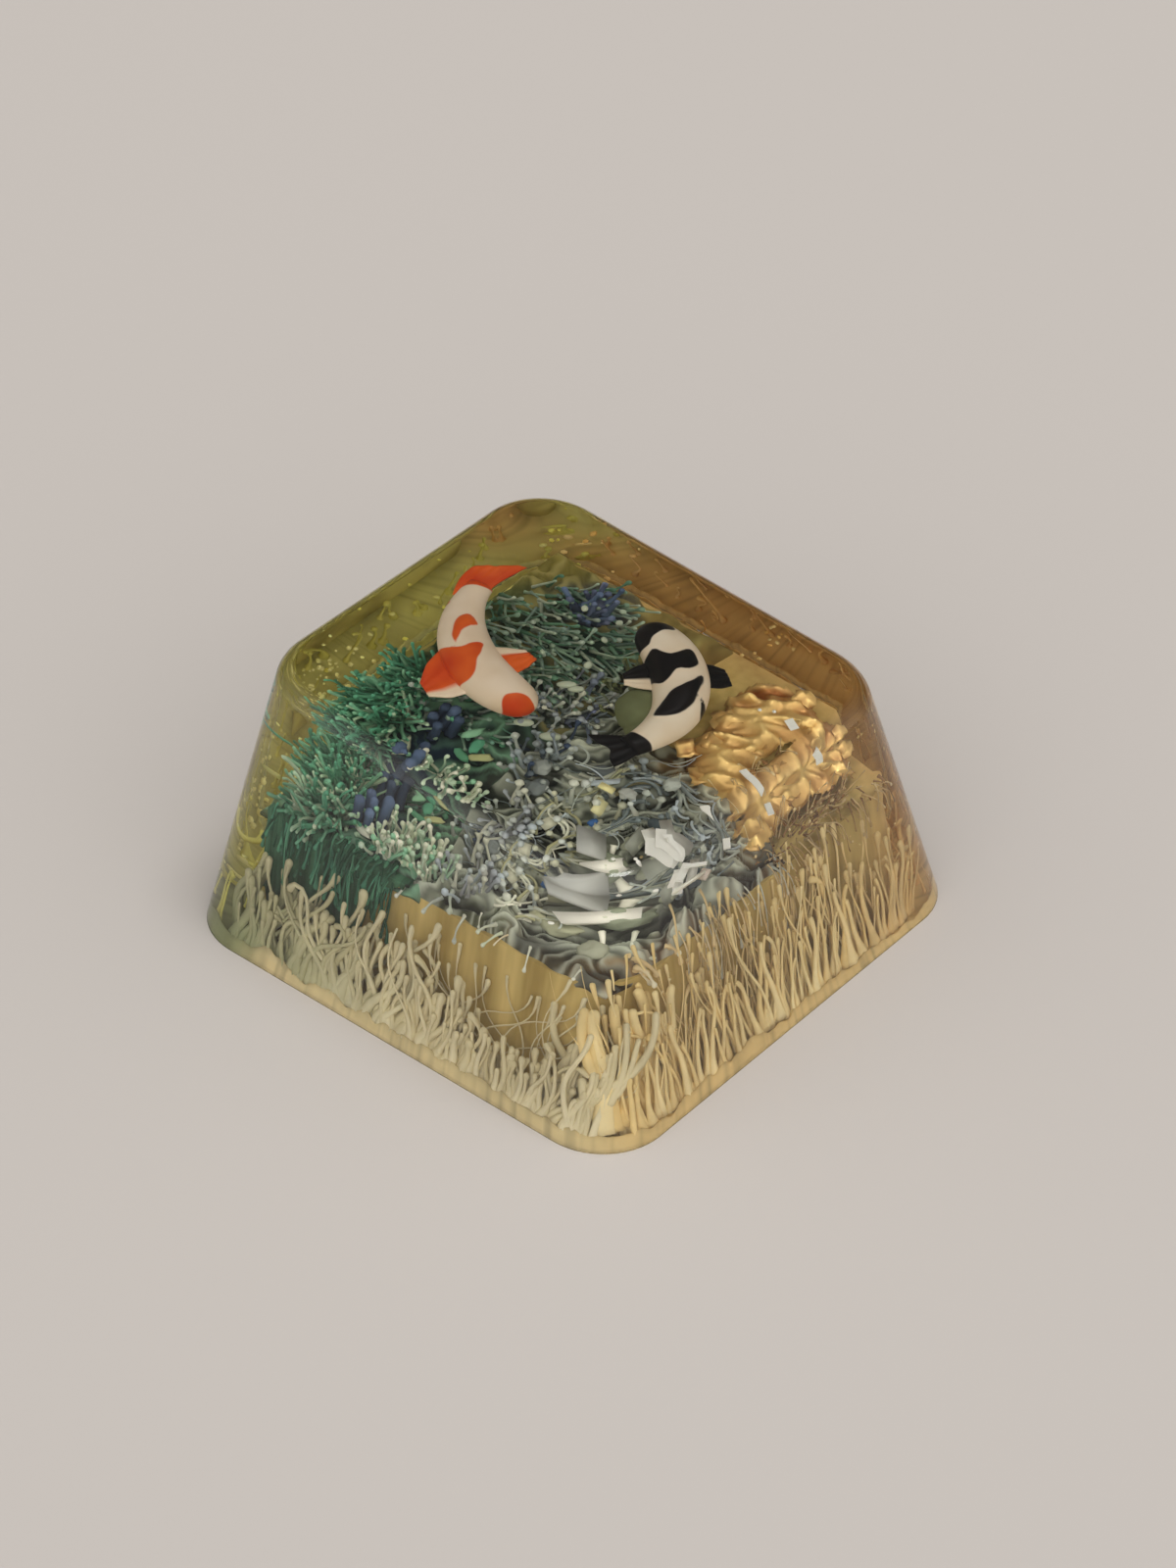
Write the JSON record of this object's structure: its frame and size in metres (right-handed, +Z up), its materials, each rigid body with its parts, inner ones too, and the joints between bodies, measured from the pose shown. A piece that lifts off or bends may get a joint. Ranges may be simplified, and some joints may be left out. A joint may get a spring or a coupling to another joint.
{
  "type": "artisan keycap",
  "caption": "Tapered one-unit keycap of clear cast resin with koi figures, ink plumes and metal leaf sealed inside, over a tan core with a cross-socket stem.",
  "frame": {"origin": "middle of the rim's square, on the plane that the rim rests on", "axes": "+Z up through the stem to the top face, -Y to the low front edge of the top, +X to the right of someone typing"},
  "size_m": [0.0182, 0.0182, 0.0097],
  "materials": {
    "clear_resin": "polished clear cast resin with a faint warm tint",
    "tan_resin": "opaque tan cast resin with upright streaks",
    "koi_orange_paint": "white with orange patches",
    "koi_black_paint": "white with black patches",
    "gold_foil": "crumpled leaf",
    "silver_foil": "bright cut foil",
    "cream_pigment": "cream ink set in resin",
    "green_pigment": "green ink set in resin",
    "blue_pigment": "blue ink set in resin",
    "slate_pigment": "grey and white ink set in resin"
  },
  "bodies": {
    "root": {"clear_cap": "clear_resin", "stem_core": "tan_resin", "koi_orange": "koi_orange_paint", "koi_black": "koi_black_paint", "gold_leaf": "gold_foil", "glitter_slips": "silver_foil", "cream_ink": "cream_pigment", "green_ink": "green_pigment", "blue_ink": "blue_pigment", "slate_ink": "slate_pigment"}
  },
  "joints": []
}
